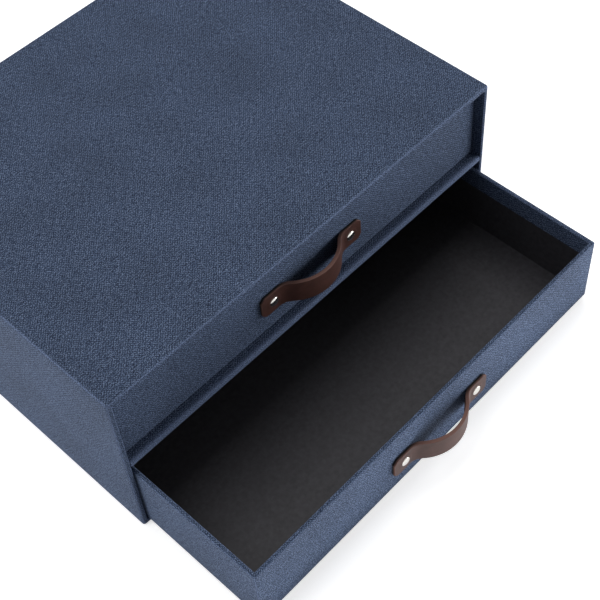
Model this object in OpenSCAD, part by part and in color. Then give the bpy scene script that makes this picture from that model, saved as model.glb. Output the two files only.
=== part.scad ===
// File box with two drawers: a casing of covered boards with a shelf, and two open-topped
// drawers, each with a bowed leather strap held by two rivets.
// Millimetres, +Z up, the drawers open towards -Y. The origin is the middle of the
// casing's footprint, on the surface that the box stands on.

/* [Casing] */
// Outside width of the casing
casing_w = 330; // [320:1:345]
// Outside depth of the casing
casing_d = 264; // [250:1:290]
// Outside height of the casing
casing_h = 139; // [137:1:160]
// Thickness of the casing's boards
casing_board = 3.0; // [2.5:0.1:3.5]
// Height of the shelf's underside above the ground
shelf_z = 68.6; // [66:0.1:70]
// Thickness of the shelf's board
shelf_board_t = 4.8; // [4:0.1:5]

/* [Covering] */
// Thickness of the covering and lining sheets
sheet = 0.3; // [0.2:0.05:0.35]
// How far the covering is turned in behind a front edge or a rim
turn_in = 15.5; // [10:0.5:20]
// Width of the covering's flaps on the underside and the back
flap = 15; // [10:1:25]
// How far the base and back sheets stay inside the edges
sheet_margin = 3; // [2:0.5:6]

/* [Drawers] */
// Outside height of a drawer
drawer_h = 57; // [50:0.5:58]
// Thickness of a drawer's boards
drawer_board = 2.4; // [2:0.1:3]
// Gap at each side of a drawer
side_gap = 1.1; // [0.6:0.1:1.5]
// Gap under a drawer
under_gap = 0.3; // [0.3:0.1:0.5]
// Gap behind a closed drawer
back_gap = 0.5; // [0.4:0.1:2]
// How far a closed drawer stands back from the casing's front edge
recess = 7; // [4:0.5:12]
// How far the lower drawer is pulled out
lower_pull = 106.5; // [0:0.5:230]

/* [Handles] */
// Width of the leather strap
strap_w = 17.6; // [14:0.2:22]
// Thickness of the leather
strap_t = 2.4; // [2:0.1:3.4]
// Distance between the strap's two ends
strap_l = 89; // [84:0.5:96]
// Clear depth of the bow, from the drawer's front to the back of the leather
bow = 12.9; // [11.5:0.1:15]
// Radius of the bow's crown, at the middle of the leather
crown_r = 30; // [24:0.5:32]
// Radius of the bends where the strap leaves the drawer's front
foot_r = 12; // [8:0.5:13]
// Steepest slope of the bow, in degrees
bow_slope = 42; // [38:1:44]
// Size of the clipped corners at the strap's ends
strap_clip = 3; // [1:0.5:5]
// Height of the strap's middle above the drawer's underside
handle_z = 25.5; // [20:0.5:35]
// Distance between the two rivets of a strap
rivet_spacing = 69; // [68:0.5:72]
// Diameter of a rivet's caps
rivet_d = 7; // [6:0.5:8]
// Height of a rivet's domed cap
rivet_cap_h = 1.9; // [1.4:0.1:2.5]
// How deep a domed cap is pressed into the leather
cap_seat = 0.5; // [0:0.1:0.8]
// Height of the flat cap inside the drawer
rivet_back_h = 1.3; // [1.1:0.1:1.8]
// Diameter of a rivet's post
post_d = 3; // [2.5:0.1:3.5]

/* [Hidden] */

// How far a cutting shape runs past the face that it cuts
cut = 1;
// Number of straight steps in each bend of the strap
bend_steps = 10;
// Clearance of the post's holes and of the caps' seats, on the diameter
post_play = 0.2;
// Depth of the socket in the back cap that takes the post's end
socket_depth = 0.8;
// Straight edge of a rivet's cap, under its dome
cap_edge = 0.4;
// Gap at each end of the shelf's edge strip
strip_end_gap = 0.4;

board_colour = "#8d877c";
cover_colour = "#434b5e";
base_colour = "#24262b";
lining_colour = "#131417";
leather_colour = "#4b2d26";
metal_colour = "#c9c9cc";

// Casing: outside faces
casing_x = casing_w / 2;
front_y = -casing_d / 2;
back_y = casing_d / 2;
// Casing: faces of the boards, one sheet inside at the top, sides and front,
// two sheets inside on the underside and the back, where flaps and sheet lie on each other
board_x = casing_x - sheet;
board_front_y = front_y + sheet;
board_back_y = back_y - 2 * sheet;
board_low_z = 2 * sheet;
board_top_z = casing_h - sheet;
// Casing: faces of the boards that look into the bays
inner_x = board_x - casing_board;
inner_back_y = board_back_y - casing_board;
inner_low_z = board_low_z + casing_board;
inner_top_z = board_top_z - casing_board;
// Casing: the bays that the drawers slide in
bay_x = inner_x - sheet;
bay_back_y = inner_back_y - sheet;
lower_bay_low_z = inner_low_z + sheet;
shelf_board_z = shelf_z + sheet;
shelf_board_top_z = shelf_board_z + shelf_board_t;
upper_bay_low_z = shelf_board_top_z + sheet;
upper_bay_top_z = inner_top_z - sheet;

// Drawer, in its own place: front face at y = 0, underside at z = 0
drawer_x = bay_x - side_gap;
drawer_d = bay_back_y - front_y - recess - back_gap;
wall = drawer_board + 2 * sheet;
drawer_board_x = drawer_x - sheet;
drawer_inner_x = drawer_board_x - drawer_board;
drawer_floor_z = 2 * sheet;
drawer_floor_top_z = drawer_floor_z + drawer_board;

// Strap: where the bow meets the drawer's front, seen from its middle
bow_straight = (bow - (crown_r + foot_r) * (1 - cos(bow_slope))) / sin(bow_slope);
foot_x = (crown_r + foot_r) * sin(bow_slope) + bow_straight * cos(bow_slope);

// A box from its lowest to its highest corner
module block(low, high) {
    translate(low) cube(high - low);
}

// A drawer's place in the casing, with its front pulled out by the given length
module in_upper_bay() {
    translate([0, front_y + recess, upper_bay_low_z + under_gap]) children();
}

module in_lower_bay() {
    translate([0, front_y + recess - lower_pull, lower_bay_low_z + under_gap]) children();
}

// ---- Casing: boards ----

module casing_top_board() {
    color(board_colour)
        block([-board_x, board_front_y, inner_top_z], [board_x, board_back_y, board_top_z]);
}

module casing_bottom_board() {
    color(board_colour)
        block([-board_x, board_front_y, board_low_z], [board_x, board_back_y, inner_low_z]);
}

module casing_left_board() {
    color(board_colour)
        block([-board_x, board_front_y, inner_low_z], [-inner_x, board_back_y, inner_top_z]);
}

module casing_right_board() {
    color(board_colour)
        block([inner_x, board_front_y, inner_low_z], [board_x, board_back_y, inner_top_z]);
}

module casing_back_board() {
    color(board_colour)
        block([-inner_x, inner_back_y, inner_low_z], [inner_x, board_back_y, inner_top_z]);
}

module shelf_board() {
    color(board_colour)
        block([-inner_x, board_front_y, shelf_board_z], [inner_x, inner_back_y, shelf_board_top_z]);
}

// ---- Casing: sheets ----

// The closed sheet round the boards, opened at the front for the bays and, inside
// its flaps, on the underside and the back
module cover_outside() {
    difference() {
        block([-casing_x, front_y, sheet], [casing_x, back_y - sheet, casing_h]);
        block([-board_x, board_front_y, board_low_z], [board_x, board_back_y, board_top_z]);
        block([-bay_x, front_y - cut, lower_bay_low_z], [bay_x, board_front_y + cut, upper_bay_top_z]);
        block([flap - casing_x, front_y + flap, 0], [casing_x - flap, back_y - flap, board_low_z + cut]);
        block([flap - casing_x, board_back_y - cut, flap], [casing_x - flap, back_y, casing_h - flap]);
    }
}

// The part turned in behind the front edges, with room for the shelf
module cover_turned_in() {
    difference() {
        block([-inner_x, front_y, inner_low_z], [inner_x, front_y + turn_in, inner_top_z]);
        block([-bay_x, front_y - cut, lower_bay_low_z], [bay_x, front_y + turn_in + cut, upper_bay_top_z]);
        block([-inner_x - cut, front_y - cut, shelf_z],
            [inner_x + cut, front_y + turn_in + cut, upper_bay_low_z]);
    }
}

module casing_cover() {
    color(cover_colour) {
        cover_outside();
        cover_turned_in();
    }
}

module shelf_edge_strip() {
    strip_x = bay_x - strip_end_gap;
    color(cover_colour) difference() {
        block([-strip_x, front_y, shelf_z], [strip_x, front_y + turn_in, upper_bay_low_z]);
        block([-inner_x, board_front_y, shelf_board_z],
            [inner_x, front_y + turn_in + cut, shelf_board_top_z]);
    }
}

module casing_back_sheet() {
    color(cover_colour) {
        block([sheet_margin - casing_x, back_y - sheet, sheet_margin],
            [casing_x - sheet_margin, back_y, casing_h - sheet_margin]);
        block([flap - casing_x, board_back_y, flap], [casing_x - flap, back_y, casing_h - flap]);
    }
}

module casing_base_sheet() {
    color(base_colour) {
        block([sheet_margin - casing_x, front_y + sheet_margin, 0],
            [casing_x - sheet_margin, back_y - sheet_margin, sheet]);
        block([flap - casing_x, front_y + flap, 0], [casing_x - flap, back_y - flap, board_low_z]);
    }
}

// A lining of one bay, from behind the turned-in covering to the back board
module bay_lining(low_board_z, low_z, high_z, high_board_z) {
    color(lining_colour) difference() {
        block([-inner_x, front_y + turn_in, low_board_z], [inner_x, inner_back_y, high_board_z]);
        block([-bay_x, front_y + turn_in - cut, low_z], [bay_x, bay_back_y, high_z]);
    }
}

module upper_bay_lining() {
    bay_lining(shelf_board_top_z, upper_bay_low_z, upper_bay_top_z, inner_top_z);
}

module lower_bay_lining() {
    bay_lining(inner_low_z, lower_bay_low_z, shelf_z, shelf_board_z);
}

// ---- Drawer: boards, in the drawer's own place ----

module drawer_front_board() {
    color(board_colour) difference() {
        block([-drawer_board_x, sheet, drawer_floor_z],
            [drawer_board_x, sheet + drawer_board, drawer_h - sheet]);
        rivet_holes();
    }
}

module drawer_back_board() {
    color(board_colour)
        block([-drawer_board_x, drawer_d - sheet - drawer_board, drawer_floor_z],
            [drawer_board_x, drawer_d - sheet, drawer_h - sheet]);
}

module drawer_left_board() {
    color(board_colour)
        block([-drawer_board_x, sheet + drawer_board, drawer_floor_z],
            [-drawer_inner_x, drawer_d - sheet - drawer_board, drawer_h - sheet]);
}

module drawer_right_board() {
    mirror([1, 0, 0]) drawer_left_board();
}

module drawer_floor_board() {
    color(board_colour)
        block([-drawer_inner_x, sheet + drawer_board, drawer_floor_z],
            [drawer_inner_x, drawer_d - sheet - drawer_board, drawer_floor_top_z]);
}

// ---- Drawer: sheets ----

module drawer_cover() {
    inside_x = drawer_inner_x - sheet;
    color(cover_colour) difference() {
        union() {
            difference() {
                block([-drawer_x, 0, sheet], [drawer_x, drawer_d, drawer_h]);
                block([-drawer_board_x, sheet, drawer_floor_z],
                    [drawer_board_x, drawer_d - sheet, drawer_h - sheet]);
                block([flap - drawer_x, flap, 0], [drawer_x - flap, drawer_d - flap, drawer_floor_z + cut]);
            }
            block([-drawer_inner_x, sheet + drawer_board, drawer_h - turn_in],
                [drawer_inner_x, drawer_d - sheet - drawer_board, drawer_h]);
        }
        block([-inside_x, wall, drawer_floor_z + cut], [inside_x, drawer_d - wall, drawer_h + cut]);
        rivet_holes();
    }
}

module drawer_base_sheet() {
    color(base_colour) {
        block([sheet_margin - drawer_x, sheet_margin, 0],
            [drawer_x - sheet_margin, drawer_d - sheet_margin, sheet]);
        block([flap - drawer_x, flap, 0], [drawer_x - flap, drawer_d - flap, drawer_floor_z]);
    }
}

module drawer_lining() {
    inside_x = drawer_inner_x - sheet;
    color(lining_colour) difference() {
        block([-drawer_inner_x, sheet + drawer_board, drawer_floor_top_z],
            [drawer_inner_x, drawer_d - sheet - drawer_board, drawer_h - turn_in]);
        block([-inside_x, wall, drawer_floor_top_z + sheet], [inside_x, drawer_d - wall, drawer_h]);
        rivet_holes();
    }
}

// ---- Handle ----

// The line of the strap's back from the crown of its bow to its end, as [x, out, slope]
function strap_line() = concat(
    [for (i = [0:bend_steps]) let (a = bow_slope * i / bend_steps)
        [crown_r * sin(a), bow - crown_r * (1 - cos(a)), a]],
    [for (i = [0:bend_steps]) let (a = bow_slope * (1 - i / bend_steps))
        [foot_x - foot_r * sin(a), foot_r * (1 - cos(a)), a]],
    [[strap_l / 2, 0, 0]]);

// One face of the strap, half a thickness to either side of its middle
function strap_face(side) = [for (p = strap_line())
    [p[0] + side * strap_t / 2 * sin(p[2]), -p[1] - strap_t / 2 * (1 + side * cos(p[2]))]];

function reversed(points) = [for (i = [len(points) - 1:-1:0]) points[i]];
function mirrored(points) = [for (p = points) [-p[0], p[1]]];
function without_first(points) = [for (i = [1:len(points) - 1]) points[i]];

// The strap seen from above
function strap_outline() = concat(
    strap_face(1), reversed(strap_face(-1)),
    mirrored(without_first(strap_face(-1))), reversed(mirrored(without_first(strap_face(1)))));

// The strap seen from the front: a long rectangle with clipped corners
function strap_front() = let (x = strap_l / 2, z = strap_w / 2) [
    [-x, strap_clip - z], [strap_clip - x, -z], [x - strap_clip, -z], [x, strap_clip - z],
    [x, z - strap_clip], [x - strap_clip, z], [strap_clip - x, z], [-x, z - strap_clip]];

// Places its children at both rivets, with +Z turned to point out of the drawer's front
module at_rivets() {
    for (x = [-rivet_spacing / 2, rivet_spacing / 2])
        translate([x, 0, handle_z]) rotate([90, 0, 0]) children();
}

module rivet_holes() {
    at_rivets() translate([0, 0, -wall - cut])
        cylinder(h = wall + strap_t + 2 * cut, d = post_d + post_play, $fn = 32);
}

module handle_strap() {
    reach = bow + strap_t + cut;
    color(leather_colour) difference() {
        intersection() {
            translate([0, 0, handle_z - strap_w / 2]) linear_extrude(strap_w) polygon(strap_outline());
            translate([0, cut, handle_z]) rotate([90, 0, 0])
                linear_extrude(reach + cut) polygon(strap_front());
        }
        rivet_holes();
        at_rivets() translate([0, 0, strap_t - cap_seat])
            cylinder(h = cap_seat + cut, d = rivet_d + post_play, $fn = 48);
    }
}

// A round cap with a straight edge and a domed top, standing on z = 0
module domed_cap(h) {
    rise = h - cap_edge;
    dome_r = (pow(rivet_d / 2, 2) + rise * rise) / (2 * rise);
    intersection() {
        cylinder(h = h, d = rivet_d, $fn = 48);
        translate([0, 0, h - dome_r]) sphere(r = dome_r, $fn = 96);
    }
}

module rivet_caps() {
    color(metal_colour) at_rivets() {
        translate([0, 0, strap_t - cap_seat]) domed_cap(rivet_cap_h);
        translate([0, 0, -wall - socket_depth])
            cylinder(h = wall + socket_depth + strap_t - cap_seat + cap_edge, d = post_d, $fn = 32);
    }
}

module rivet_backs() {
    color(metal_colour) at_rivets() difference() {
        translate([0, 0, -wall]) mirror([0, 0, 1]) domed_cap(rivet_back_h);
        translate([0, 0, -wall - socket_depth])
            cylinder(h = socket_depth + cut, d = post_d + post_play, $fn = 32);
    }
}

// ---- The upper drawer's sub-parts ----

module upper_drawer_front_board() { in_upper_bay() drawer_front_board(); }
module upper_drawer_back_board() { in_upper_bay() drawer_back_board(); }
module upper_drawer_left_board() { in_upper_bay() drawer_left_board(); }
module upper_drawer_right_board() { in_upper_bay() drawer_right_board(); }
module upper_drawer_floor_board() { in_upper_bay() drawer_floor_board(); }
module upper_drawer_cover() { in_upper_bay() drawer_cover(); }
module upper_drawer_base_sheet() { in_upper_bay() drawer_base_sheet(); }
module upper_drawer_lining() { in_upper_bay() drawer_lining(); }
module upper_handle_strap() { in_upper_bay() handle_strap(); }
module upper_rivet_caps() { in_upper_bay() rivet_caps(); }
module upper_rivet_backs() { in_upper_bay() rivet_backs(); }

// ---- The lower drawer's sub-parts ----

module lower_drawer_front_board() { in_lower_bay() drawer_front_board(); }
module lower_drawer_back_board() { in_lower_bay() drawer_back_board(); }
module lower_drawer_left_board() { in_lower_bay() drawer_left_board(); }
module lower_drawer_right_board() { in_lower_bay() drawer_right_board(); }
module lower_drawer_floor_board() { in_lower_bay() drawer_floor_board(); }
module lower_drawer_cover() { in_lower_bay() drawer_cover(); }
module lower_drawer_base_sheet() { in_lower_bay() drawer_base_sheet(); }
module lower_drawer_lining() { in_lower_bay() drawer_lining(); }
module lower_handle_strap() { in_lower_bay() handle_strap(); }
module lower_rivet_caps() { in_lower_bay() rivet_caps(); }
module lower_rivet_backs() { in_lower_bay() rivet_backs(); }

casing_top_board();
casing_bottom_board();
casing_left_board();
casing_right_board();
casing_back_board();
shelf_board();
casing_cover();
shelf_edge_strip();
casing_back_sheet();
casing_base_sheet();
upper_bay_lining();
lower_bay_lining();
upper_drawer_front_board();
upper_drawer_back_board();
upper_drawer_left_board();
upper_drawer_right_board();
upper_drawer_floor_board();
upper_drawer_cover();
upper_drawer_base_sheet();
upper_drawer_lining();
upper_handle_strap();
upper_rivet_caps();
upper_rivet_backs();
lower_drawer_front_board();
lower_drawer_back_board();
lower_drawer_left_board();
lower_drawer_right_board();
lower_drawer_floor_board();
lower_drawer_cover();
lower_drawer_base_sheet();
lower_drawer_lining();
lower_handle_strap();
lower_rivet_caps();
lower_rivet_backs();
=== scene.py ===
"""File box with two drawers: covered boards, bowed leather straps, domed rivets.

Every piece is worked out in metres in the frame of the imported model. The covering is one
sheet per box part, carried over its folded edges; the straps follow the line of bent leather.
"""

import math

import bmesh
import bpy
import numpy as np
from bpy.props import FloatProperty, FloatVectorProperty, PointerProperty
from mathutils import Euler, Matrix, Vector


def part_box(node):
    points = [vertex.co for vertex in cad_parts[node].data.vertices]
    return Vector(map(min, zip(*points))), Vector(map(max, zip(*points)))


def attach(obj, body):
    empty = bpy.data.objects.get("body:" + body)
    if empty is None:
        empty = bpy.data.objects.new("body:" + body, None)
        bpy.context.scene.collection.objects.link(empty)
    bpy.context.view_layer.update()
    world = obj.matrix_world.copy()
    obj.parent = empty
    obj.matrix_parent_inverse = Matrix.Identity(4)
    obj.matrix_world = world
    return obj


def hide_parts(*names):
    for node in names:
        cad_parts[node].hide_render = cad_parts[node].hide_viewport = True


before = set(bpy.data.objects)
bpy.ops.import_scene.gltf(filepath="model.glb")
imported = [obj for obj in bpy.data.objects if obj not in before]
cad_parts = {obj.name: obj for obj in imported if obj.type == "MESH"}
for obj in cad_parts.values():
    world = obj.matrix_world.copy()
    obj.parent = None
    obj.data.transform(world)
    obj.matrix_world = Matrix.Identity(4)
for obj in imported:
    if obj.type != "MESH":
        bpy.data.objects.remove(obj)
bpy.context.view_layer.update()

bl_info = {
    "name": "Covered file box",
    "version": (1, 0, 0),
    "blender": (4, 5, 0),
    "location": "View3D > Sidebar > File box",
    "description": "Builds a covered file box with two drawers and leather pulls",
    "category": "Object",
}

MM = 0.001
DRAWERS = ("upper", "lower")
# UV maps in millimetres: round and along a sheet, and round and along a strap
SHEET_MAP = "sheet_mm"
STRAP_MAP = "strap_mm"

# Steps of a quarter bend; points over a dome, round a rivet and along half a bow
BEND_STEPS = 6
DOME_POINTS = 15
TURN_POINTS = 48
BOW_POINTS = 1200
# Stops along the shelf's strip, and from a pasted paper's middle to its step and over it
STRIP_STOPS = 25
LEVEL_STOPS, BLEND_STOPS = 5, 7
# Points along half a strap, and stops across its face with the two ends
STRAP_POINTS = 90
FACE_STOPS = 29
# Stops across a strap's edges, in shares of half its thickness
EDGE_STOPS = (-0.45, -0.05, 0.4)

# Points this close are one point, and a point this close to a plane lies on it
MERGED = 0.001 * MM
ON_PLANE = 0.02 * MM
# No corner of a turned-in sheet is tighter than this
TIGHTEST = 0.05 * MM
# How far from a fold the next point of a sheet's profile lies
BESIDE_FOLD = 1.3 * MM
BESIDE_SHELF_FOLD = 4 * MM
# The last stop on a side lies this far past the flap's width
PAST_FLAP = 0.1 * MM
# How far a pasted paper stays inside the edges, and its thickness as a share of a sheet's
PAPER_MARGIN = 3 * MM
PAPER_SHARE = 0.98
# How strongly the shelf's strip takes the fold colour: abrasion by the drawers plus a painted
# highlight
STRIP_RUB_AND_LIGHT = 0.95
POST_RADIUS = 1.5 * MM
# A rivet's dome is (r/R)^2 + (h/H)^DOME_POWER = 1
DOME_POWER = 1.4
# Ring in which the leather swells round a rivet, in radii of the rivet's cap
SWELL_AT, SWELL_WIDTH = 1.35, 0.25
# The leather shows its cut edge up to this share of its rounding from the outside
CUT_FROM = 0.6

# The weave's irregularities, in millimetres
DRIFT_MM = 4
SLUB_WIDTH_MM = 0.6
SLUB_ALONG_MM, SLUB_ROUND_MM = 3, 3.5
SPECK_MM = 0.52
CLOUD_MM = 40
# The leather's pebble and its changes of tone, in millimetres
PEBBLE_MM = 0.8
LEATHER_CLOUD_MM = 7
# What each part of the weave adds to its height
CROSSING_SHARE, ROW_SHARE = 0.19, 0.04
SLUB_ALONG_SHARE, SLUB_ROUND_SHARE = 0.35, 0.5
SPECK_SHARE = 1.7

# Kinds of node
MATH, VECTOR_MATH = "ShaderNodeMath", "ShaderNodeVectorMath"
NOISE, BUMP = "ShaderNodeTexNoise", "ShaderNodeBump"
MAP_RANGE, RAMP, MIX = "ShaderNodeMapRange", "ShaderNodeValToRGB", "ShaderNodeMix"
SHADER, OUTPUT = "ShaderNodeBsdfPrincipled", "ShaderNodeOutputMaterial"

# Lamps: place, size and the point that each looks at, in metres
BOX_MIDDLE = (0, -0.1, 0.06)
LAMPS = {
    "key": ((1.05, -0.8, 0.26), (1.0, 0.4), BOX_MIDDLE),
    "fill": ((-1.4, 0.6, 0.35), (1.2, 0.5), BOX_MIDDLE),
    "top": ((0, 0.12, 1.3), (2.0, 0.6), BOX_MIDDLE),
    "bounce": ((0, -0.34, 0.002), (0.9, 0.18), (0, -0.34, 1)),
}
FLOOR_HALF = 1.2
# The floor's own white rises between these distances from the origin
NEAR, FAR = 0.6, 1.1


def linear(hex_colour):
    """An sRGB hex colour as linear red, green, blue and an alpha of 1."""
    parts = np.array([int(hex_colour[i : i + 2], 16) for i in (1, 3, 5)]) / 255
    low = parts / 12.92
    high = ((parts + 0.055) / 1.055) ** 2.4
    return (*np.where(parts <= 0.04045, low, high).tolist(), 1.0)


def length(title, words, default_mm):
    """A size in the panel, given in millimetres and kept in metres."""
    return FloatProperty(
        name=title, description=words, default=default_mm * MM, unit="LENGTH", precision=5
    )


def colour(title, words, default_hex):
    """A colour in the panel, given as sRGB hex and kept linear."""
    return FloatVectorProperty(
        name=title, description=words, subtype="COLOR", size=4, min=0, max=1,
        default=linear(default_hex),
    )


def amount(title, words, default, **limits):
    """A plain number in the panel."""
    return FloatProperty(name=title, description=words, default=default, **limits)


# ---- Sizes and colours ----


class FILEBOX_PG_sheet(bpy.types.PropertyGroup):
    """The covering and the papers."""

    thickness: length("Thickness", "Thickness of every sheet", 0.3)
    edge: length("Casing edge", "Radius of the outside edges of the casing and its shelf", 2.0)
    fold: length("Drawer fold", "Radius of the outside edges of a drawer's rim and floor", 0.95)
    inner_fold: length("Inner fold", "Radius of a fold into a bay or a drawer", 0.95)
    bay_corner: length("Bay corner", "Radius of the covering in the corners of the mouth", 1.5)
    corner: length("Drawer corner", "Radius of a drawer's upright corners", 1.4)
    turn_in: length("Turn-in", "How far the covering is turned in", 15.5)
    flap: length("Flap", "Width of the flaps on the underside and back", 15.0)
    blend: length("Step", "Width over which a paper sinks inside the flaps", 2.0)
    thread: length("Thread pitch", "Distance between two threads of the embossed weave", 0.98)


class FILEBOX_PG_strap(bpy.types.PropertyGroup):
    """The leather straps and their rivets."""

    crown: length("Crown radius", "Radius of the bow's crown, at the middle of the leather", 30.0)
    foot: length("Foot radius", "Radius of the bends where the strap leaves the front", 12.0)
    slope: amount("Slope", "Steepest slope of the bow", math.radians(42), subtype="ANGLE")
    leather: length("Leather", "Thickness of the leather", 2.4)
    rounding: length("Edge rounding", "Radius of the leather's sanded edges", 0.3)
    clip: length("Clipped corners", "Size of the clipped corners at the ends", 3.0)
    puff: length("Puff", "How far the leather swells round a rivet's cap", 0.2)
    wall: length("Drawer wall", "Thickness of a covered drawer wall", 3.0)
    cap_edge: length("Cap edge", "Straight edge under a rivet's dome", 0.35)


class FILEBOX_PG_colour(bpy.types.PropertyGroup):
    """Colours of the finishes."""

    thread: colour("Raised thread", "Crowns of the embossed weave", "#43536e")
    ground: colour("Ground", "Hollows of the embossed weave", "#131c30")
    fleck: colour("Flecks", "Rubbed crowns of the embossed weave", "#7786a2")
    # Fold colour: abrasion along the folds plus a painted highlight
    worn_and_lit: colour("Folds", "Covering rubbed along its folds", "#7586a9")
    base: colour("Base paper", "Paper under the casing and the drawers", "#24262b")
    bay: colour("Bay lining", "Paper inside the casing", "#16171b")
    lining: colour("Drawer lining", "Smooth paper inside the drawers", "#2b2a2e")
    board: colour("Greyboard", "Boards inside the covering", "#8d877c")
    face: colour("Leather face", "Waxed grain side of the leather", "#3a221d")
    cut: colour("Leather edge", "Cut edge of the leather", "#75564e")
    # Painted contact shadow: a near-black tone on the leather's edge where it meets the front
    seat: colour("Leather seat", "Wax and dirt where the leather's edge meets the front", "#0a0809")
    flesh: colour("Leather back", "Rough side of the leather", "#6a4a3b")
    metal: colour("Rivets", "Polished nickel plating", "#dad7d2")
    floor: colour("Floor", "Floor and backdrop", "#f4f4f4")


class FILEBOX_PG_stage(bpy.types.PropertyGroup):
    """Camera, lamps and floor."""

    camera: FloatVectorProperty(
        name="Camera", description="Place of the camera", subtype="TRANSLATION", unit="LENGTH",
        default=(-0.3375, -0.4879, 0.7255),
    )
    aim: FloatVectorProperty(
        name="Aim", description="Turn of the camera", subtype="EULER",
        default=tuple(math.radians(a) for a in (38.285, 2.011, -47.188)),
    )
    lens: amount("Focal length", "Focal length in millimetres", 76.95)
    shift_x: amount("Shift X", "Sideways shift of the picture", -0.057)
    shift_y: amount("Shift Y", "Upward shift of the picture", -0.0575)
    sky: amount("Sky", "Light that comes from all round", 0.065, min=0)
    key: amount("Key lamp", "Power of the low lamp at the front right", 11.5, unit="POWER")
    fill: amount("Fill lamp", "Power of the low lamp at the left", 13.0, unit="POWER")
    top: amount("Top lamp", "Power of the lamp overhead", 11.4, unit="POWER")
    bounce: amount("Bounce lamp", "Power of the light thrown up by the floor", 0.9, unit="POWER")
    glow: amount("Floor glow", "White that the floor shows of its own near the box", 0.64, min=0)


SETTINGS = {
    "filebox_sheet": FILEBOX_PG_sheet,
    "filebox_strap": FILEBOX_PG_strap,
    "filebox_colour": FILEBOX_PG_colour,
    "filebox_stage": FILEBOX_PG_stage,
}


# ---- Meshes ----


def grid_faces(count_u, count_v, closed):
    """Quads of a grid of count_u by count_v points, closed round in u if asked.

    Also gives each corner's place (u index, v index), where the last u index of a closed
    grid runs on past the seam, so that a map doesn't jump back there.
    """
    u, v = np.meshgrid(np.arange(count_u - (not closed)), np.arange(count_v - 1), indexing="ij")
    corner_u = np.stack([u, u + 1, u + 1, u], -1).reshape(-1, 4)
    corner_v = np.stack([v, v, v + 1, v + 1], -1).reshape(-1, 4)
    return (corner_u % count_u) * count_v + corner_v, corner_u, corner_v


def distances(points):
    """Running distance along a line of points, from 0."""
    return np.concatenate([[0], np.cumsum(np.linalg.norm(np.diff(points, axis=0), axis=-1))])


def rounded_loop(half_u, half_v, radius, stops_u, stops_v):
    """A rectangle with round corners, once for each value of half_u, half_v and radius.

    Each corner is a quarter circle of its radius, set in by that radius; the straight sides
    have points at the given stops. The result is points round the loop by values by (u, v).
    """
    sides = ((stops_u[::-1], 0), (stops_v[::-1], 1), (stops_u, 0), (stops_v, 1))
    signs = ((1, 1), (-1, 1), (-1, -1), (1, -1))
    walls = (half_v, -half_u, -half_v, half_u)
    quarter = np.linspace(0, math.pi / 2, BEND_STEPS + 1)[:, None]
    loop = []
    for k, ((stops, along), (sign_u, sign_v), wall) in enumerate(zip(sides, signs, walls)):
        angle = quarter + k * math.pi / 2
        u = sign_u * (half_u - radius) + radius * np.cos(angle)
        v = sign_v * (half_v - radius) + radius * np.sin(angle)
        loop.append(np.stack([u, v], -1))
        straight = np.empty((len(stops), len(half_u), 2))
        straight[..., along] = np.asarray(stops)[:, None]
        straight[..., 1 - along] = wall
        loop.append(straight)
    return np.concatenate(loop)


def corner_weight(count_u, count_v):
    """How far each point of rounded_loop lies within a corner's bend: sin² of twice the turn."""
    turned = np.sin(np.linspace(0, math.pi, BEND_STEPS + 1)) ** 2
    return np.concatenate([turned, np.zeros(count_u), turned, np.zeros(count_v)] * 2)


def straight_points(count_u, count_v):
    """Places in rounded_loop of the points on its straight sides."""
    corner = np.zeros(BEND_STEPS + 1)
    half_loop = np.concatenate([corner, np.ones(count_u), corner, np.ones(count_v)])
    return np.flatnonzero(np.tile(half_loop, 2))


def bend(centre, radius, start, stop):
    """Points of an arc round a centre, from one angle to another, in degrees."""
    angle = np.radians(np.linspace(start, stop, BEND_STEPS + 1))
    return np.asarray(centre) + radius * np.stack([np.cos(angle), np.sin(angle)], -1)


def new_piece(name, points, faces, material, maps=None, weights=None):
    """A mesh object at the origin, with its maps (by face corner) and weights (by point)."""
    mesh = bpy.data.meshes.new(name)
    mesh.from_pydata(points.reshape(-1, 3).tolist(), [], [list(f) for f in faces])
    for map_name, corners in (maps or {}).items():
        layer = mesh.uv_layers.new(name=map_name)
        layer.data.foreach_set("uv", np.ascontiguousarray(corners, dtype=np.float32).ravel())
    for weight_name, values in (weights or {}).items():
        layer = mesh.attributes.new(weight_name, "FLOAT", "POINT")
        layer.data.foreach_set("value", np.ascontiguousarray(values, dtype=np.float32).ravel())
    mesh.materials.append(material)
    piece = bpy.data.objects.new(name, mesh)
    bpy.context.scene.collection.objects.link(piece)
    return piece


def shade(piece, sharp_from=35):
    """Smooth faces, with an edge left sharp where the surface turns by more than the angle."""
    piece.data.shade_smooth()
    piece.data.set_sharp_from_angle(angle=math.radians(sharp_from))


def thicken(piece, thickness):
    """Gives a single skin its thickness behind its face, as a closed sheet."""
    modifier = piece.modifiers.new("thickness", "SOLIDIFY")
    modifier.thickness = thickness
    modifier.offset = -1
    modifier.use_even_offset = True
    finished = piece.evaluated_get(bpy.context.evaluated_depsgraph_get())
    solid = bpy.data.meshes.new_from_object(finished)
    piece.modifiers.clear()
    piece.data = solid
    shade(piece)


def settle(piece, body, slot, *nodes):
    """The piece rides on a body and stands for CAD nodes, which are hidden; its slot is not used.
    """
    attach(piece, body)
    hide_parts(*nodes)


def node_box(node):
    """Lowest and highest corner of a node, in metres, as arrays."""
    low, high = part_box(node)
    return np.array(low), np.array(high)


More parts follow.
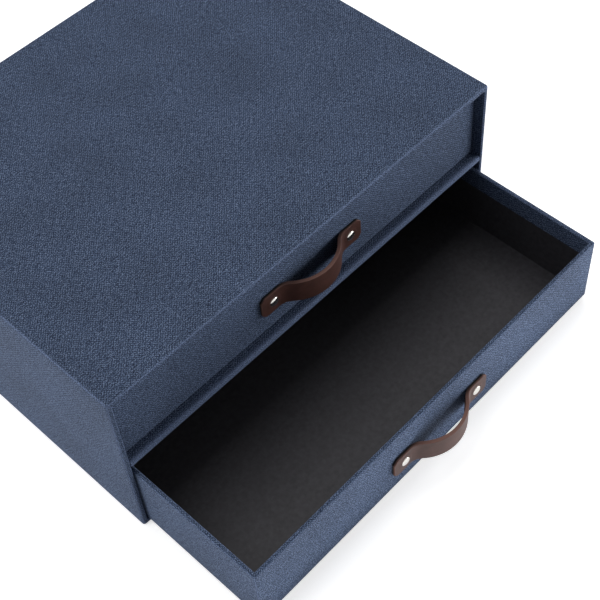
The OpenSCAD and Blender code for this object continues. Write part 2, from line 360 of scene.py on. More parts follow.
def folded_sheet(name, loop, profile, place, material, drop=None, tightest=TIGHTEST):
    """A sheet carried round a box: profile points (inset, along) at each point of a loop.

    Each point of the loop is the outline moved in by the profile's inset, with corners no
    tighter than the given radius; place turns (loop u, loop v, along) into x, y, z. The
    sheet's map is millimetres round the loop by millimetres along the profile.
    drop(centres) picks faces that are cut out.
    """
    half_u, half_v, radius, stops_u, stops_v = loop
    inset, along = profile[:, 0], profile[:, 1]
    tight = np.maximum(radius - inset, tightest)
    ring = rounded_loop(half_u - inset, half_v - inset, tight, stops_u, stops_v)
    points = place(ring[..., 0], ring[..., 1], np.broadcast_to(along, ring.shape[:2]))
    faces, corner_u, corner_v = grid_faces(*ring.shape[:2], closed=True)
    single = (np.array([x]) for x in (half_u, half_v, radius))
    outline = rounded_loop(*single, stops_u, stops_v)[:, 0]
    round_mm = distances(np.vstack([outline, outline[:1]])) / MM
    along_mm = distances(profile) / MM
    corners = np.stack([round_mm[corner_u], along_mm[corner_v]], -1)
    turned_round = corner_weight(len(stops_u), len(stops_v))[:, None]
    folds = np.maximum(turned_round, fold_weight(profile)[None, :])
    if drop is not None:
        kept = ~drop(points.reshape(-1, 3)[faces].mean(1))
        faces, corners = faces[kept], corners[kept]
    piece = new_piece(name, points, faces, material, {SHEET_MAP: corners}, {"fold": folds})
    thicken(piece, bpy.context.scene.filebox_sheet.thickness)
    return piece


def fold_weight(profile):
    """How far each point of a profile lies within a quarter bend: sin² of twice its heading."""
    step = np.diff(profile, axis=0)
    heading = np.unwrap(np.arctan2(step[:, 1], step[:, 0]))
    heading = np.concatenate([heading[:1], (heading[1:] + heading[:-1]) / 2, heading[-1:]])
    return np.sin(2 * heading) ** 2


def evenly(half, count, edge):
    """Stops along a side of the given half length, the outermost at edge from its ends."""
    return np.linspace(edge - half, half - edge, count)


# ---- Materials ----


def add(tree, kind, inputs=None, stops=(), **settings):
    """Adds a node with its settings; an input takes a value, an output or a whole node.

    A whole node feeds its first output. Stops are a colour ramp's (position, colour).
    """
    made = tree.nodes.new(kind)
    for name, value in settings.items():
        setattr(made, name, value)
    for socket, value in (inputs or {}).items():
        if isinstance(value, bpy.types.Node):
            value = value.outputs[0]
        if isinstance(value, bpy.types.NodeSocket):
            tree.links.new(value, made.inputs[socket])
        else:
            made.inputs[socket].default_value = value
    if stops:
        elements = made.color_ramp.elements
        elements[0].position, elements[0].color = stops[0]
        elements[1].position, elements[1].color = stops[-1]
        for position, tone in stops[1:-1]:
            elements.new(position).color = tone
    return made


def new_material(name):
    """A material and its node tree, which is empty."""
    material = bpy.data.materials.new(name)
    material.use_nodes = True
    material.node_tree.nodes.clear()
    return material, material.node_tree


def embossed_canvas_paper():
    """Box-covering paper, dyed in the mass and embossed with a plain canvas weave.

    To the eye: raised crossings about a millimetre apart on a darker ground, uneven along
    both threads, with pale flecks where the crowns are scuffed, and folds that are lighter from
    abrasion and a painted highlight.
    """
    sheet, colours = bpy.context.scene.filebox_sheet, bpy.context.scene.filebox_colour
    material, tree = new_material("embossed_canvas_paper")
    place = add(tree, "ShaderNodeUVMap", uv_map=SHEET_MAP)
    # Threads wander by a quarter of a millimetre over some millimetres
    drift = add(tree, NOISE, {"Vector": place, "Scale": 1 / DRIFT_MM, "Detail": 1.0})
    drift = {0: drift.outputs["Color"], 1: (1.0, 1.0, 0.0)}
    drift = add(tree, VECTOR_MATH, drift, operation="MULTIPLY")
    woven = add(tree, VECTOR_MATH, {0: place, 1: drift}, operation="ADD")
    axes = add(tree, "ShaderNodeSeparateXYZ", {"Vector": woven})
    turn = math.pi / (sheet.thread / MM)
    waves = []
    for axis in ("X", "Y"):
        angle = add(tree, MATH, {0: axes.outputs[axis], 1: turn}, operation="MULTIPLY")
        waves.append(add(tree, MATH, {0: angle}, operation="SINE"))
    # Slubs run for some millimetres along a thread, and are narrower than the thread
    along = (1 / SLUB_WIDTH_MM, 1 / SLUB_ALONG_MM, 1.0)
    across = (1 / SLUB_ROUND_MM, 1 / SLUB_WIDTH_MM, 1.0)
    irregular = []
    for stretch, share in ((along, SLUB_ALONG_SHARE), (across, SLUB_ROUND_SHARE)):
        drawn_out = add(tree, "ShaderNodeMapping", {"Vector": woven, "Scale": stretch})
        slub = add(tree, NOISE, {"Vector": drawn_out, "Scale": 1.0, "Detail": 0.0})
        irregular.append((slub, share))
    speck = {"Vector": woven, "Scale": 1 / SPECK_MM, "Detail": 0.3, "Roughness": 0.6}
    speck = add(tree, NOISE, speck)
    irregular.append((speck, SPECK_SHARE))
    # The rows along the sheet stand a little prouder than those across it
    crossing = add(tree, MATH, {0: waves[0], 1: waves[1]}, operation="MULTIPLY")
    crossing = add(tree, MATH, {0: crossing, 1: CROSSING_SHARE}, operation="MULTIPLY")
    row = add(tree, MATH, {0: waves[1], 1: ROW_SHARE}, operation="MULTIPLY")
    height = add(tree, MATH, {0: crossing, 1: row}, operation="ADD")
    for signal, share in irregular:
        centred = add(tree, MATH, {0: signal, 1: 0.5}, operation="SUBTRACT")
        part = add(tree, MATH, {0: centred, 1: share}, operation="MULTIPLY")
        height = add(tree, MATH, {0: height, 1: part}, operation="ADD")
    height = add(tree, MATH, {0: height, 1: 0.5}, operation="ADD", use_clamp=True)
    tones = ((0.3, colours.ground), (0.62, colours.thread), (0.85, colours.fleck))
    tint = add(tree, RAMP, {"Fac": height}, tones)
    cloud = add(tree, NOISE, {"Vector": place, "Scale": 1 / CLOUD_MM, "Detail": 3.0})
    level = {"Value": cloud, "From Min": 0.3, "From Max": 0.7, "To Min": 0.88, "To Max": 1.12}
    level = add(tree, MAP_RANGE, level)
    tint = add(tree, VECTOR_MATH, {0: tint, 1: level}, operation="MULTIPLY")
    # Folds are lighter from abrasion and from a painted highlight, most where the specks stand
    # proud
    fold = add(tree, "ShaderNodeAttribute", attribute_name="fold").outputs["Fac"]
    fold = add(tree, MATH, {0: fold, 1: 3.0}, operation="POWER")
    patchiness = add(tree, MATH, {0: speck, 1: 0.3}, operation="SUBTRACT")
    patchiness = add(tree, MATH, {0: patchiness, 1: 2.6}, operation="MULTIPLY", use_clamp=True)
    rubbed_and_lit = add(tree, MATH, {0: fold, 1: patchiness}, operation="MULTIPLY")
    tint = add(tree, MIX, {0: rubbed_and_lit, 6: tint, 7: colours.worn_and_lit}, data_type="RGBA").outputs[2]
    relief = add(tree, BUMP, {"Height": height, "Strength": 0.6, "Distance": 0.15 * MM})
    surface = {"Base Color": tint, "Normal": relief, "Roughness": 0.85, "IOR": 1.5}
    surface["Specular IOR Level"] = 0.25
    add(tree, OUTPUT, {"Surface": add(tree, SHADER, surface)})
    return material


def plain_paper(name, tone, roughness, grain_mm):
    """Uncoated dyed paper: matt, with short fibres lying every way in a slightly cloudy tone."""
    material, tree = new_material(name)
    place = add(tree, "ShaderNodeTexCoord").outputs["Object"]
    fibre = add(tree, NOISE, {"Vector": place, "Scale": 1 / (grain_mm * MM), "Detail": 4.0})
    dark = [c * 0.75 for c in tone[:3]] + [1.0]
    light = [c * 1.35 for c in tone[:3]] + [1.0]
    tint = add(tree, RAMP, {"Fac": fibre}, ((0.3, dark), (0.7, light)))
    relief = add(tree, BUMP, {"Height": fibre, "Strength": 0.3, "Distance": 0.05 * MM})
    surface = {"Base Color": tint, "Normal": relief, "Roughness": roughness, "IOR": 1.5}
    surface["Specular IOR Level"] = 0.25
    add(tree, OUTPUT, {"Surface": add(tree, SHADER, surface)})
    return material


def greyboard(tone):
    """Pressed recycled greyboard: dull, speckled with darker and lighter pulp."""
    material, tree = new_material("pressed_greyboard")
    place = add(tree, "ShaderNodeTexCoord").outputs["Object"]
    pulp = add(tree, NOISE, {"Vector": place, "Scale": 1 / (2.5 * MM), "Detail": 6.0})
    dark = [c * 0.6 for c in tone[:3]] + [1.0]
    tint = add(tree, RAMP, {"Fac": pulp}, ((0.35, dark), (0.6, tone)))
    surface = {"Base Color": tint, "Roughness": 0.85, "IOR": 1.5}
    add(tree, OUTPUT, {"Surface": add(tree, SHADER, surface)})
    return material


def waxed_leather(colours):
    """Vegetable-tanned cowhide, waxed and sanded at its edges.

    To the eye: a fine pebble with a soft sheen on the grain side, a lighter cut edge that
    carries a painted contact shadow where it meets the front, and a rough nap on the back.
    """
    material, tree = new_material("waxed_cowhide")
    place = add(tree, "ShaderNodeUVMap", uv_map=STRAP_MAP)
    # Real pores are about 0.3 mm apart, too fine to show, so the pebble is drawn coarser
    pebble = {"Vector": place, "Scale": 1 / PEBBLE_MM}
    pebble = add(tree, "ShaderNodeTexVoronoi", pebble, feature="SMOOTH_F1")
    cloud = add(tree, NOISE, {"Vector": place, "Scale": 1 / LEATHER_CLOUD_MM, "Detail": 4.0})
    tone = {"Value": cloud, "From Min": 0.3, "From Max": 0.7, "To Min": 0.75, "To Max": 1.3}
    tone = add(tree, MAP_RANGE, tone)
    tint = add(tree, VECTOR_MATH, {0: colours.face[:3], 1: tone}, operation="MULTIPLY")
    parts = {}
    # The cut edge and the back take their own colours, and a painted contact shadow darkens the cut
    # edge next to the front
    for part, shown in (
        ("cut_edge", colours.cut), ("flesh_side", colours.flesh), ("seat", colours.seat)
    ):
        parts[part] = add(tree, "ShaderNodeAttribute", attribute_name=part).outputs["Fac"]
        tint = add(tree, MIX, {0: parts[part], 6: tint, 7: shown}, data_type="RGBA").outputs[2]
    dull = {0: parts["cut_edge"], 1: parts["flesh_side"]}
    dull = add(tree, MATH, dull, operation="MAXIMUM")
    rough = add(tree, MAP_RANGE, {"Value": dull, "To Min": 0.5, "To Max": 0.85})
    relief = add(tree, BUMP, {"Height": pebble, "Strength": 0.35, "Distance": 0.1 * MM})
    surface = {"Base Color": tint, "Normal": relief, "Roughness": rough, "IOR": 1.5}
    surface["Specular IOR Level"] = 0.3
    add(tree, OUTPUT, {"Surface": add(tree, SHADER, surface)})
    return material


def polished_nickel(tone):
    """Nickel-plated steel, barrel polished: near mirror, with faint handling marks."""
    material, tree = new_material("polished_nickel")
    place = add(tree, "ShaderNodeTexCoord").outputs["Object"]
    marks = add(tree, NOISE, {"Vector": place, "Scale": 1 / (1.5 * MM), "Detail": 5.0})
    rough = add(tree, MAP_RANGE, {"Value": marks, "To Min": 0.08, "To Max": 0.2})
    surface = {"Base Color": tone, "Roughness": rough, "Metallic": 1.0}
    add(tree, OUTPUT, {"Surface": add(tree, SHADER, surface)})
    return material


def covering():
    """The covering's material, made the first time it is asked for."""
    return bpy.data.materials.get("embossed_canvas_paper") or embossed_canvas_paper()


def dress(node, material):
    """Gives a CAD node, whose shape stays, its finish."""
    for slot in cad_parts[node].material_slots:
        slot.material = material


# ---- Pieces ----


class FILEBOX_OT_casing(bpy.types.Operator):
    """Covering of the casing: one sheet over all its edges, and the strip on the shelf's edge."""

    bl_idname = "filebox.casing"
    bl_label = "Casing covering"

    def execute(self, context):
        sheet = context.scene.filebox_sheet
        low, high = node_box("casing_cover")
        centre = (low + high) / 2
        half_u, half_v = (high - low)[[0, 2]] / 2
        bay_low = node_box("casing_bottom_board")[1][2] + sheet.thickness
        profile = casing_profile(sheet, low[1], high[1], bay_low - low[2])
        edge = sheet.flap + PAST_FLAP
        loop = (half_u, half_v, sheet.edge, evenly(half_u, 9, edge), evenly(half_v, 5, edge))

        def place(u, v, y):
            return np.stack([centre[0] + u, y, centre[2] + v], -1)

        def opening(centres):
            """Faces of the underside that lie inside its four flaps."""
            x, y, z = centres.T
            inside = np.abs(x) < half_u - sheet.flap
            inside &= (y > low[1] + sheet.flap) & (y < high[1] - sheet.flap)
            return inside & (z < low[2] + 0.5 * sheet.thickness)

        piece = folded_sheet(
            "casing_wrap", loop, profile, place, covering(), opening, sheet.bay_corner
        )
        settle(piece, "casing", "covering", "casing_cover")
        self.shelf_edge(sheet)
        return {"FINISHED"}

    def shelf_edge(self, sheet):
        """The strip: a U-shaped profile with two folds, carried straight from end to end."""
        low, high = node_box("shelf_edge_strip")
        fold, step = sheet.edge, BESIDE_SHELF_FOLD
        profile = np.vstack([
            [(high[1], low[2]), (low[1] + fold + step, low[2])],
            bend((low[1] + fold, low[2] + fold), fold, 270, 180),
            bend((low[1] + fold, high[2] - fold), fold, 180, 90),
            [(low[1] + fold + step, high[2]), (high[1], high[2])],
        ])
        stops = np.linspace(low[0], high[0], STRIP_STOPS)
        x, row = np.meshgrid(stops, np.arange(len(profile)), indexing="ij")
        points = np.stack([x, profile[row, 0], profile[row, 1]], -1)
        faces, corner_u, corner_v = grid_faces(*x.shape, closed=False)
        corners = np.stack([stops[corner_u] / MM, distances(profile)[corner_v] / MM], -1)
        # The drawers rub the whole front of the strip, a little past its two folds, and a painted
        # highlight lies over the same band
        rubbed_and_lit = STRIP_RUB_AND_LIGHT * (profile[:, 0] < low[1] + 1.1 * fold)
        maps, weights = {SHEET_MAP: corners}, {"fold": np.broadcast_to(rubbed_and_lit, x.shape)}
        piece = new_piece("shelf_edge_wrap", points, faces, covering(), maps, weights)
        thicken(piece, sheet.thickness)
        settle(piece, "casing", "covering", "shelf_edge_strip")


def casing_profile(sheet, front, back, wall):
    """The casing's sheet from its back flap to its turned-in end, as (inset, y).

    It is made of straight stretches joined by quarter circles.
    """
    fold, inner, step = sheet.edge, sheet.inner_fold, BESIDE_FOLD
    return np.vstack([
        [(sheet.flap, back), (fold + step, back)],
        bend((fold, back - fold), fold, 90, 180),
        [(0, back - fold - step), (0, back - sheet.flap), (0, 0)],
        [(0, front + sheet.flap), (0, front + fold + step)],
        bend((fold, front + fold), fold, 180, 270),
        bend((wall - inner, front + inner), inner, 270, 360),
        [(wall, front + inner + step), (wall, front + sheet.turn_in)],
    ])


class FILEBOX_OT_papers(bpy.types.Operator):
    """Papers pasted over the flaps, on the back and on each underside."""

    bl_idname = "filebox.papers"
    bl_label = "Pasted papers"

    def execute(self, context):
        base = plain_paper("dyed_base_paper", context.scene.filebox_colour.base, 0.8, 1.4)
        pasted_paper("casing_back", "casing", "covering", 1, covering())
        pasted_paper("casing_base", "casing", "base_paper", 2, base)
        for side in DRAWERS:
            pasted_paper(f"{side}_drawer_base", f"{side}_drawer", "base_paper", 2, base)
        return {"FINISHED"}


def pasted_paper(name, body, slot, axis, material):
    """A paper over four flaps, sunk between them onto the board.

    Its outer face lies flat on the flaps. Inside them it sinks by one sheet, along a smooth
    step (3t² - 2t³) of the distance past the flap's edge, the least over the four sides.
    """
    sheet = bpy.context.scene.filebox_sheet
    low, high = node_box(f"{name}_sheet")
    middle, half = (low + high) / 2, (high - low) / 2
    # u runs towards -X and v along the other axis, so that the face looks outwards
    other = 3 - axis
    outer, inward = (high[1], -1) if axis == 1 else (low[2], 1)
    on_flap = sheet.flap - PAPER_MARGIN
    steps = [stops_across(h, on_flap, sheet.blend) for h in (half[0], half[other])]
    u, v = np.meshgrid(*steps, indexing="ij")
    past = np.minimum(half[0] - np.abs(u), half[other] - np.abs(v)) - on_flap
    t = np.clip(past / sheet.blend, 0, 1)
    points = np.empty((*u.shape, 3))
    points[..., 0] = middle[0] - u
    points[..., other] = middle[other] + v
    points[..., axis] = outer + inward * sheet.thickness * (3 * t**2 - 2 * t**3)
    faces, corner_u, corner_v = grid_faces(*u.shape, closed=False)
    corners = np.stack([steps[0][corner_u] / MM, steps[1][corner_v] / MM], -1)
    maps, weights = {SHEET_MAP: corners}, {"fold": np.zeros(u.shape)}
    piece = new_piece(f"{name}_paper", points, faces, material, maps, weights)
    thicken(piece, PAPER_SHARE * sheet.thickness)
    settle(piece, body, slot, f"{name}_sheet")


def stops_across(half, edge, blend):
    """Stops from -half to half, close together over the step that starts edge from the ends."""
    step = half - edge - np.linspace(0, blend, BLEND_STOPS)
    level = np.linspace(0, step[-1], LEVEL_STOPS)[:-1]
    positive = np.concatenate([level, step[::-1], [half]])
    return np.concatenate([-positive[:0:-1], positive])


class FILEBOX_OT_drawers(bpy.types.Operator):
    """Covering of both drawers, over the walls and the rim, and their smooth lining."""

    bl_idname = "filebox.drawers"
    bl_label = "Drawer coverings"

    def execute(self, context):
        sheet, colours = context.scene.filebox_sheet, context.scene.filebox_colour
        lining = plain_paper("smooth_black_paper", colours.lining, 0.55, 3.0)
        bay = plain_paper("matt_bay_paper", colours.bay, 0.75, 1.4)
        wall = context.scene.filebox_strap.wall
        edge = sheet.flap + PAST_FLAP
        for side in DRAWERS:
            low, high = node_box(f"{side}_drawer_cover")
            centre = (low + high) / 2
            half_u, half_v = (high - low)[:2] / 2
            loop = (half_u, half_v, sheet.corner, evenly(half_u, 7, edge), evenly(half_v, 7, edge))

            def place(u, v, z, centre=centre):
                return np.stack([centre[0] + u, centre[1] + v, z], -1)

            profile = drawer_profile(sheet, low[2], high[2], wall)
            piece = folded_sheet(f"{side}_drawer_wrap", loop, profile, place, covering())
            settle(piece, f"{side}_drawer", "covering", f"{side}_drawer_cover")
            dress(f"{side}_drawer_lining", lining)
            dress(f"{side}_bay_lining", bay)
        return {"FINISHED"}


def drawer_profile(sheet, low, high, wall):
    """A drawer's sheet from its flap under the floor to its turned-in end, as (inset, z).

    It is made of straight stretches joined by quarter circles.
    """
    fold, inner, step = sheet.fold, sheet.inner_fold, BESIDE_FOLD
    return np.vstack([
        [(sheet.flap, low), (fold + step, low)],
        bend((fold, low + fold), fold, 270, 180),
        [(0, low + fold + step), (0, (low + high) / 2), (0, high - fold - step)],
        bend((fold, high - fold), fold, 180, 90),
        bend((wall - inner, high - inner), inner, 90, 0),
        [(wall, high - inner - step), (wall, high - sheet.turn_in)],
    ])


class FILEBOX_OT_boards(bpy.types.Operator):
    """Boards: sanded round under the covering's edges, or as they are where it lies flat."""

    bl_idname = "filebox.boards"
    bl_label = "Boards"

    def execute(self, context):
        sheet = context.scene.filebox_sheet
        material = greyboard(context.scene.filebox_colour.board)
        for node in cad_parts:
            if node.endswith("_board"):
                dress(node, material)
        low, high = node_box("casing_cover")
        outside = planes(low + sheet.thickness, high - sheet.thickness)
        rounding = sheet.edge - sheet.thickness
        for part in ("top", "bottom", "left", "right"):
            node = f"casing_{part}_board"
            piece = board_copy(f"casing_{part}_panel", node, material)
            ease_edges(piece, outside, rounding)
            settle(piece, "casing", "fibreboard", node)
        shelf = board_copy("shelf_core", "shelf_board", material)
        # The shelf's board ends a millimetre inside the ends of its strip
        short = node_box("shelf_edge_strip")[1][0] - MM
        place = points_of(shelf.data)
        place[:, 0] = np.clip(place[:, 0], -short, short)
        shelf.data.vertices.foreach_set("co", place.ravel())
        low, high = node_box("shelf_board")
        ease_edges(shelf, [(1, low[1]), (2, low[2]), (2, high[2])], rounding)
        settle(shelf, "casing", "fibreboard", "shelf_board")
        for side in DRAWERS:
            for part, end in (("front", 0), ("back", 1)):
                node = f"{side}_drawer_{part}_board"
                piece = board_copy(f"{side}_drawer_{part}_panel", node, material)
                box = node_box(node)
                upright = [(0, box[0][0]), (0, box[1][0]), (1, box[end][1])]
                ease_edges(piece, upright, sheet.corner - sheet.thickness)
                settle(piece, f"{side}_drawer", "fibreboard", node)
        return {"FINISHED"}


def board_copy(name, node, material):
    """A merged copy of a CAD board, with its flat faces joined up."""
    shape = bmesh.new()
    shape.from_mesh(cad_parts[node].data)
    bmesh.ops.remove_doubles(shape, verts=shape.verts, dist=MERGED)
    bmesh.ops.dissolve_limit(
        shape, angle_limit=math.radians(1), verts=shape.verts, edges=shape.edges
    )
    mesh = bpy.data.meshes.new(name)
    shape.to_mesh(mesh)
    shape.free()
    mesh.materials.clear()
    mesh.materials.append(material)
    piece = bpy.data.objects.new(name, mesh)
    bpy.context.scene.collection.objects.link(piece)
    return piece


def planes(low, high):
    """The six sides of a box as (axis, place)."""
    return [(axis, corner[axis]) for corner in (low, high) for axis in range(3)]


def points_of(mesh):
    """The places of a mesh's points, as an array."""
    place = np.empty(len(mesh.vertices) * 3)
    mesh.vertices.foreach_get("co", place)
    return place.reshape(-1, 3)


def ease_edges(piece, sides, radius):
    """Rounds a board's edges that lie where two of the sides, given as (axis, place), meet."""
    ends = np.empty(len(piece.data.edges) * 2, dtype=np.int32)
    piece.data.edges.foreach_get("vertices", ends)
    ends = points_of(piece.data)[ends.reshape(-1, 2)]
    on_side = [np.abs(ends[..., axis] - place).max(1) < ON_PLANE for axis, place in sides]
    shape = bmesh.new()
    shape.from_mesh(piece.data)
    shape.edges.ensure_lookup_table()
    met = [shape.edges[k] for k in np.flatnonzero(np.sum(on_side, axis=0) == 2)]
    bmesh.ops.bevel(
        shape, geom=met, offset=radius, segments=BEND_STEPS, profile=0.5, affect="EDGES"
    )
    shape.to_mesh(piece.data)
    shape.free()
    shade(piece)


class FILEBOX_OT_straps(bpy.types.Operator):
    """Leather straps: a soft-edged section carried along the line of the bow."""

    bl_idname = "filebox.straps"
    bl_label = "Leather straps"

    def execute(self, context):
        material = waxed_leather(context.scene.filebox_colour)
        for side in DRAWERS:
            bowed_strap(context.scene.filebox_strap, side, material)
        return {"FINISHED"}


def bow_line(strap, bow, half_length):
    """Half of the strap's middle line, from its crown to its end, at many short steps.

    The slope falls evenly over the crown from level to its steepest, holds along the
    straight stretch, rises evenly to level again over the foot, and stays level to the end.
    x and out are its cosine and sine summed along the line.
    """
    rise = (strap.crown + strap.foot) * (1 - math.cos(strap.slope))
    straight = (bow - rise) / math.sin(strap.slope)
    reach = (strap.crown + strap.foot) * math.sin(strap.slope) + straight * math.cos(strap.slope)
    stretches = [strap.crown * strap.slope, straight, strap.foot * strap.slope, half_length - reach]
    knots = np.concatenate([[0], np.cumsum(stretches)])
    along = np.linspace(0, knots[-1], BOW_POINTS)
    slope = np.interp(along, knots, [0, -strap.slope, -strap.slope, 0, 0])
    mean = (slope[1:] + slope[:-1]) / 2
    step = np.diff(along)
    x = np.concatenate([[0], np.cumsum(np.cos(mean) * step)])
    out = bow + np.concatenate([[0], np.cumsum(np.sin(mean) * step)])
    return along, x, out, slope


def bowed_strap(strap, side, material):
    """A rounded rectangle, as wide and thick as the strap, carried square to the bow's line.

    The width narrows over each end by what the clipped corner takes away. The very end
    shrinks along a quarter circle of the edge's rounding, and the face swells in a ring
    round each rivet.
    """
    low, high = node_box(f"{side}_handle_strap")
    face = node_box(f"{side}_drawer_cover")[0][1]
    cap_low, cap_high = node_box(f"{side}_rivet_caps")
    half_width, half_thick = (high[2] - low[2]) / 2, strap.leather / 2
    cap_radius = (cap_high[2] - cap_low[2]) / 2
    rivet_x = (cap_high[0] - cap_low[0]) / 2 - cap_radius
    bow = face - low[1] - strap.leather
    along, x, out, slope = bow_line(strap, bow, high[0])
    end = along[-1]
    rest = np.linspace(0, end - strap.rounding, STRAP_POINTS)
    tip = end - strap.rounding * (1 - np.sin(np.linspace(0, math.pi / 2, BEND_STEPS + 1)[1:]))
    half = np.concatenate([rest, tip])
    station = np.concatenate([-half[:0:-1], half])
    sign, distance = np.sign(station), np.abs(station)
    left = end - distance
    inset = np.maximum(strap.rounding - left, 0)
    shrink = strap.rounding - np.sqrt(np.maximum(strap.rounding**2 - inset**2, 0))
    width = half_width - np.maximum(strap.clip - left, 0) - shrink
    thick = half_thick - shrink
    stops = np.linspace(-1, 1, FACE_STOPS)[1:-1]
    radius = np.minimum(strap.rounding, thick)
    across = np.array(EDGE_STOPS) * half_thick
    ring = rounded_loop(width, thick, radius, stops * half_width, across)
    # The stops across the face follow the width where it narrows
    scale = (width - radius) / (half_width - strap.rounding) * (1 - strap.rounding / half_width)
    flat = np.abs(ring[..., 1]) >= thick - MERGED
    straight = np.isin(np.arange(len(ring)), straight_points(len(stops), len(across)))
    inner = straight[:, None] & flat
    ring[..., 0] = np.where(inner, ring[..., 0] * scale, ring[..., 0])
    line_x = sign * np.interp(distance, along, x)
    line_out = np.interp(distance, along, out)
    tilt = sign * np.interp(distance, along, slope)
    from_rivet = np.hypot(np.abs(line_x) - rivet_x, ring[..., 0]) / cap_radius
    swell = strap.puff * np.exp(-(((from_rivet - SWELL_AT) / SWELL_WIDTH) ** 2))
    outward = ring[..., 1] + np.where(ring[..., 1] > 0, swell, 0)
    sideways = line_x - np.sin(tilt) * outward
    forward = face - (line_out + half_thick + np.cos(tilt) * outward)
    points = np.stack([sideways, forward, (low[2] + high[2]) / 2 + ring[..., 0]], -1)
    faces, corner_u, corner_v = grid_faces(*ring.shape[:2], closed=True)
    count = ring.shape[1]
    first = np.arange(ring.shape[0]) * count
    caps = [first.tolist(), (first + count - 1)[::-1].tolist()]
    section = ring[:, count // 2]
    round_mm = distances(np.vstack([section, section[:1]])) / MM
    corners = np.stack([round_mm[corner_u], (station / MM)[corner_v]], -1).reshape(-1, 2)
    corners = np.concatenate([corners, np.zeros((2 * len(first), 2))])
    side_wall = np.abs(ring[..., 0]) >= (width - CUT_FROM * radius)
    tips = np.broadcast_to(left < CUT_FROM * strap.rounding, ring.shape[:2])
    cut = np.maximum(side_wall, tips).astype(float)
    flesh = ((ring[..., 1] < -0.5 * thick) & (cut == 0)).astype(float)
    # Painted contact shadow: the inner half of the cut edge goes dark where the strap lies on the
    # front
    seat = (ring[..., 1] < 0) * (cut == 1) * np.clip(1 - line_out / strap.leather, 0, 1)
    maps = {STRAP_MAP: corners}
    weights = {"cut_edge": cut, "flesh_side": flesh, "seat": seat}
    faces = faces.tolist() + caps
    piece = new_piece(f"{side}_handle_leather", points, faces, material, maps, weights)
    shade(piece, 50)
    settle(piece, f"{side}_drawer", "leather", f"{side}_handle_strap")


class FILEBOX_OT_rivets(bpy.types.Operator):
    """Rivets: turned shapes, domed in front and closed by a low cap inside the drawer."""

    bl_idname = "filebox.rivets"
    bl_label = "Rivets"

    def execute(self, context):
        strap = context.scene.filebox_strap
        material = polished_nickel(context.scene.filebox_colour.metal)
        for side in DRAWERS:
            body = f"{side}_drawer"
            low, high = node_box(f"{side}_rivet_caps")
            radius = (high[2] - low[2]) / 2
            spread = (high[0] - low[0]) / 2 - radius
            height = (low[2] + high[2]) / 2
            face = node_box(f"{side}_drawer_cover")[0][1]
            front = dome_profile(radius, face - strap.leather - low[1], strap.cap_edge)
            front[:, 1] += strap.leather
            post_end = face - high[1]
            post = [(POST_RADIUS, strap.leather), (POST_RADIUS, post_end), (0, post_end)]
            front = np.vstack([front, post])
            piece = turned(f"{side}_rivet_domes", front, face, spread, height, material)
            settle(piece, body, "rivet_metal", f"{side}_rivet_caps")
            low, high = node_box(f"{side}_rivet_backs")
            back = dome_profile(radius, high[1] - low[1], strap.cap_edge)
            back = np.vstack([back, [(0, 0)]])
            back[:, 1] = face - low[1] - back[:, 1]
            piece = turned(f"{side}_rivet_flats", back[::-1], face, spread, height, material)
            settle(piece, body, "rivet_metal", f"{side}_rivet_backs")
        return {"FINISHED"}


def dome_profile(radius, rise, edge):
    """A cap as (radius, height): a dome on a short straight edge.

    Over the edge, the square of r/R plus h/H raised to DOME_POWER is 1.
    """
    angle = np.linspace(0, math.pi / 2, DOME_POINTS)
    r = radius * np.sin(angle)
    h = edge + (rise - edge) * np.cos(angle) ** (2 / DOME_POWER)
    return np.vstack([np.stack([r, h], -1), [(radius, 0)]])


def turned(name, profile, face, spread, height, material):
    """A profile (radius, distance out of the drawer's front) turned round both rivets' axes.

    x and z are the radius times the cosine and the sine of the turn, from each rivet's axis.
    """
    count = TURN_POINTS
    angle = np.linspace(0, 2 * math.pi, count, endpoint=False)[:, None]
    x = profile[:, 0] * np.cos(angle)
    y = np.broadcast_to(face - profile[:, 1], x.shape)
    z = height + profile[:, 0] * np.sin(angle)
    shape = np.stack([x, y, z], -1)
    faces = grid_faces(count, len(profile), closed=True)[0]
    pair = np.concatenate([shape + (-spread, 0, 0), shape + (spread, 0, 0)])
    both = np.concatenate([faces, faces + count * len(profile)])
    piece = new_piece(name, pair, both, material)
    made = bmesh.new()
    made.from_mesh(piece.data)
    bmesh.ops.remove_doubles(made, verts=made.verts, dist=MERGED)
    bmesh.ops.recalc_face_normals(made, faces=made.faces)
    made.to_mesh(piece.data)
    made.free()
    shade(piece)
    return piece


# ---- Stage ----


class FILEBOX_OT_stage(bpy.types.Operator):
    """Floor, soft lamps, sky and the camera."""

    bl_idname = "filebox.stage"
    bl_label = "Stage"

    def execute(self, context):
        stage = context.scene.filebox_stage
        material = floor_material(context.scene.filebox_colour.floor, stage.glow)
        corners = np.array([(-1, -1, 0), (1, -1, 0), (1, 1, 0), (-1, 1, 0)]) * FLOOR_HALF
        new_piece("floor", corners, [(0, 1, 2, 3)], material)
        for name, setting in LAMPS.items():
            softbox(f"{name}_lamp", getattr(stage, name), *setting)
        # The box mirrors the floor itself, and not the lamp that stands for its light
        bpy.data.objects["bounce_lamp"].visible_glossy = False
        sky(stage.sky)
        camera(stage)
        context.scene.view_settings.view_transform = "Standard"
        return {"FINISHED"}


def seen_directly(tree):
    """1 for a ray that comes from the camera, a reflection or glass, else 0."""
    path = add(tree, "ShaderNodeLightPath").outputs
    seen = {0: path["Is Camera Ray"], 1: path["Is Glossy Ray"]}
    seen = {0: add(tree, MATH, seen, operation="MAXIMUM"), 1: path["Is Transmission Ray"]}
    return add(tree, MATH, seen, operation="MAXIMUM")


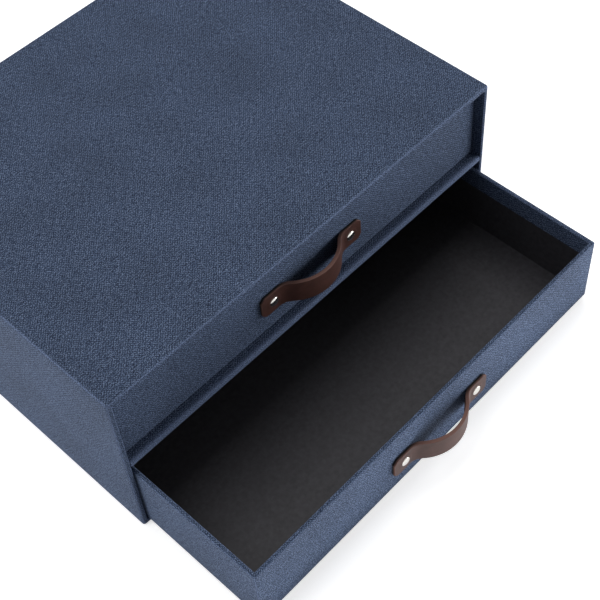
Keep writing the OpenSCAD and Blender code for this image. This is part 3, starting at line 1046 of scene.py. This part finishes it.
def floor_material(tone, glow):
    """A pale matt floor that also shows some white of its own, so that only shadows darken it.

    Far from the box, where the lamps fall off, its own white rises to that of the sky.
    """
    material, tree = new_material("studio_floor")
    matt = add(tree, "ShaderNodeBsdfDiffuse", {"Color": tone})
    place = add(tree, "ShaderNodeTexCoord").outputs["Object"]
    away = add(tree, VECTOR_MATH, {0: place}, operation="LENGTH").outputs["Value"]
    level = {"Value": away, "From Min": NEAR, "From Max": FAR, "To Min": glow, "To Max": 1.0}
    level = add(tree, MAP_RANGE, level, interpolation_type="SMOOTHSTEP")
    strength = add(tree, MATH, {0: seen_directly(tree), 1: level}, operation="MULTIPLY")
    shown = add(tree, "ShaderNodeEmission", {"Strength": strength})
    both = add(tree, "ShaderNodeAddShader", {0: matt, 1: shown})
    add(tree, OUTPUT, {"Surface": both})
    return material


def softbox(name, power, place, size, target):
    """A rectangular area lamp that looks at a point."""
    lamp = bpy.data.lights.new(name, "AREA")
    lamp.shape = "RECTANGLE"
    lamp.size, lamp.size_y = size
    lamp.energy = power
    holder = bpy.data.objects.new(name, lamp)
    holder.location = place
    holder.rotation_euler = (Vector(target) - holder.location).to_track_quat("-Z", "Y").to_euler()
    holder.visible_camera = False
    bpy.context.scene.collection.objects.link(holder)


def sky(level):
    """A white surround: white to look at, and a plain level of light on the box."""
    world = bpy.data.worlds.new("studio_sky")
    world.use_nodes = True
    tree = world.node_tree
    tree.nodes.clear()
    strength = {"Value": seen_directly(tree), "To Min": level, "To Max": 1.0}
    light = {"Color": (1.0, 1.0, 1.0, 1.0), "Strength": add(tree, MAP_RANGE, strength)}
    add(tree, "ShaderNodeOutputWorld", {"Surface": add(tree, "ShaderNodeBackground", light)})
    bpy.context.scene.world = world


def camera(stage):
    """The camera at the photograph's place and angle."""
    data = bpy.data.cameras.new("camera")
    data.lens = stage.lens
    data.sensor_width = 36
    data.shift_x, data.shift_y = stage.shift_x, stage.shift_y
    data.clip_start, data.clip_end = 0.05, 20
    holder = bpy.data.objects.new("camera", data)
    holder.location = stage.camera
    holder.rotation_euler = Euler(stage.aim)
    bpy.context.scene.collection.objects.link(holder)
    bpy.context.scene.camera = holder


OPERATORS = (
    FILEBOX_OT_boards,
    FILEBOX_OT_casing,
    FILEBOX_OT_papers,
    FILEBOX_OT_drawers,
    FILEBOX_OT_straps,
    FILEBOX_OT_rivets,
    FILEBOX_OT_stage,
)


class FILEBOX_PT_panel(bpy.types.Panel):
    """The box's sizes, colours and pieces."""

    bl_label = "File box"
    bl_idname = "FILEBOX_PT_panel"
    bl_space_type = "VIEW_3D"
    bl_region_type = "UI"
    bl_category = "File box"

    def draw(self, context):
        for name, group in SETTINGS.items():
            box = self.layout.box()
            for prop in group.__annotations__:
                box.prop(getattr(context.scene, name), prop)
        for operator in OPERATORS:
            self.layout.operator(operator.bl_idname)


def register():
    for group in SETTINGS.values():
        bpy.utils.register_class(group)
    for name, group in SETTINGS.items():
        setattr(bpy.types.Scene, name, PointerProperty(type=group))
    for operator in OPERATORS:
        bpy.utils.register_class(operator)
    bpy.utils.register_class(FILEBOX_PT_panel)


def unregister():
    bpy.utils.unregister_class(FILEBOX_PT_panel)
    for operator in reversed(OPERATORS):
        bpy.utils.unregister_class(operator)
    for name, group in SETTINGS.items():
        delattr(bpy.types.Scene, name)
        bpy.utils.unregister_class(group)


def main():
    register()
    bpy.ops.filebox.boards()
    bpy.ops.filebox.casing()
    bpy.ops.filebox.papers()
    bpy.ops.filebox.drawers()
    bpy.ops.filebox.straps()
    bpy.ops.filebox.rivets()
    bpy.ops.filebox.stage()


if __name__ == "__main__":
    main()
